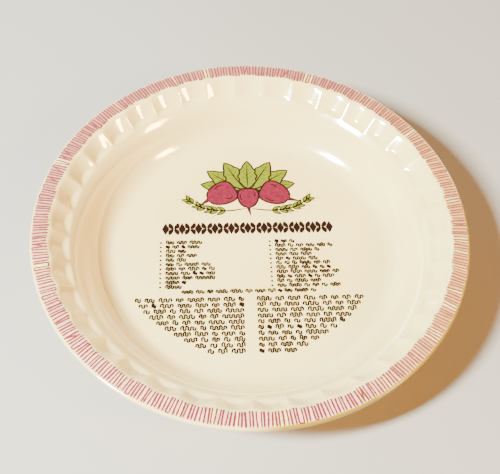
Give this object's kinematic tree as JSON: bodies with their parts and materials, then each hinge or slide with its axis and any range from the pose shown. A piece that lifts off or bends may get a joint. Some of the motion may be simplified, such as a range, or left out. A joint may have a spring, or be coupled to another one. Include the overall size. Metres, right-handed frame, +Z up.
{
  "type": "deep-dish pizza baking dish",
  "caption": "Round deep-dish baking dish for pizza in cream glazed ceramic, with a flat rim, a fluted band inside it and a printed middle.",
  "frame": {"origin": "middle of the foot, on the plane that the dish stands on", "axes": "+Z up along the axis of the round dish, towards the open side; +Y towards the top of the printed picture, so that the printed rows run along +X"},
  "size_m": [0.305, 0.305, 0.0459],
  "materials": {
    "cream_glaze": "gloss",
    "rose_print": "gloss",
    "green_print": "gloss",
    "brown_print": "gloss"
  },
  "bodies": {
    "root": {"dish": "cream_glaze"}
  },
  "joints": []
}
